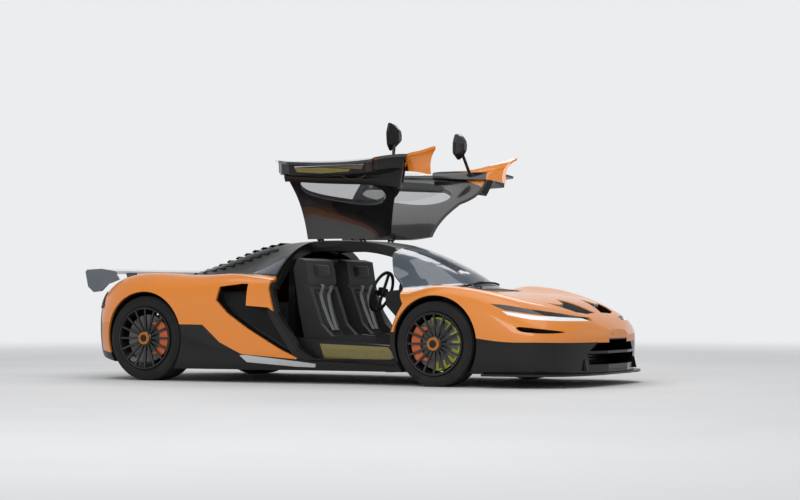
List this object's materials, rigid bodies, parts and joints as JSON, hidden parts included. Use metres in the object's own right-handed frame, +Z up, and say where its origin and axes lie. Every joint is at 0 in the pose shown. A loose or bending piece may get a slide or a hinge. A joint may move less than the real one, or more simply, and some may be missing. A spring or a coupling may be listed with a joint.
{
  "type": "mid engined two seat supercar with roof hinged doors",
  "caption": "Orange mid engined coupe parked with both roof hinged doors raised, dark lower body, slim spoked wheels, side intakes and rear wing.",
  "frame": {"origin": "on the ground, below the middle of the overall length and width", "axes": "+X to the nose, +Y to the car's left, +Z up"},
  "size_m": [4.635, 2.5846, 2.0788],
  "materials": {
    "paint": "metallic orange paint, clear coated, on composite panels",
    "light_bar": "white light guides, clear covers",
    "silver": "satin silver",
    "gloss_black": "gloss black",
    "carbon": "dark woven composite, satin",
    "glass": "tinted glass",
    "lamp": "clear lamp cover",
    "tyre": "black rubber",
    "rim": "dark grey forged",
    "disc": "drilled brake disc",
    "caliper": "orange paint",
    "metal": "machined",
    "steel": "satin",
    "seat": "dark grey suede",
    "trim": "black soft trim",
    "wing": "blue grey gloss",
    "mirror_shell": "gloss black shell"
  },
  "bodies": {
    "body": {"front_clamshell": "paint", "headlamps": "lamp", "light_bars": "light_bar", "front_bumper": "gloss_black", "windows": "glass", "roof_frame": "carbon", "rear_body": "paint", "side_skirts": "gloss_black", "sill_blades": "silver", "engine_cover": "gloss_black", "rear_fascia": "gloss_black", "underfloor": "carbon", "tub": "carbon", "rear_calipers": "caliper", "suspension": "steel", "engine_block": "metal", "seats": "seat", "dashboard": "trim", "rear_wing": "wing", "exhausts": "steel"},
    "steering_wheel": {"steering_wheel": "trim"},
    "left_knuckle": {"front_left_upright": "metal", "front_left_caliper": "caliper"},
    "left_door": {"left_door_shell": "paint", "left_door_inner": "carbon", "left_door_glass": "glass", "left_door_mirror": "mirror_shell"},
    "front_left_wheel": {"front_left_tyre": "tyre", "front_left_rim": "rim", "front_left_disc": "disc"},
    "rear_left_wheel": {"rear_left_tyre": "tyre", "rear_left_rim": "rim", "rear_left_disc": "disc"},
    "right_knuckle": {"front_right_upright": "metal", "front_right_caliper": "caliper"},
    "right_door": {"right_door_shell": "paint", "right_door_inner": "carbon", "right_door_glass": "glass", "right_door_mirror": "mirror_shell"},
    "front_right_wheel": {"front_right_tyre": "tyre", "front_right_rim": "rim", "front_right_disc": "disc"},
    "rear_right_wheel": {"rear_right_tyre": "tyre", "rear_right_rim": "rim", "rear_right_disc": "disc"}
  },
  "joints": [
    {"name": "left_steering", "type": "hinge", "parent": "body", "child": "left_knuckle", "pos_m": [1.1875, 0.845, 0.33], "axis": [0, 0, 1], "range_deg": [-28, 28]},
    {"name": "right_steering", "type": "hinge", "parent": "body", "child": "right_knuckle", "pos_m": [1.1875, -0.845, 0.33], "axis": [0, 0, 1], "range_deg": [-28, 28]},
    {"name": "steering_wheel_turn", "type": "hinge", "parent": "body", "child": "steering_wheel", "pos_m": [0.43, -0.33, 0.72], "axis": [-0.9397, 0, 0.342], "range_deg": [-364, 364]},
    {"name": "left_door_hinge", "type": "hinge", "parent": "body", "child": "left_door", "pos_m": [0, 0.25, 1.168], "axis": [1, 0, 0], "range_deg": [-85, 0]},
    {"name": "right_door_hinge", "type": "hinge", "parent": "body", "child": "right_door", "pos_m": [0, -0.25, 1.168], "axis": [-1, 0, 0], "range_deg": [-85, 0]},
    {"name": "front_left_wheel_spin", "type": "hinge", "parent": "left_knuckle", "child": "front_left_wheel", "pos_m": [1.1875, 0.845, 0.33], "axis": [0, 1, 0], "continuous": true},
    {"name": "front_right_wheel_spin", "type": "hinge", "parent": "right_knuckle", "child": "front_right_wheel", "pos_m": [1.1875, -0.845, 0.33], "axis": [0, 1, 0], "continuous": true},
    {"name": "rear_left_wheel_spin", "type": "hinge", "parent": "body", "child": "rear_left_wheel", "pos_m": [-1.4925, 0.825, 0.35], "axis": [0, 1, 0], "continuous": true},
    {"name": "rear_right_wheel_spin", "type": "hinge", "parent": "body", "child": "rear_right_wheel", "pos_m": [-1.4925, -0.825, 0.35], "axis": [0, 1, 0], "continuous": true}
  ],
  "couplings": [
    {"joint": "right_steering", "follows": "left_steering", "ratio": 1},
    {"joint": "steering_wheel_turn", "follows": "left_steering", "ratio": 13}
  ]
}
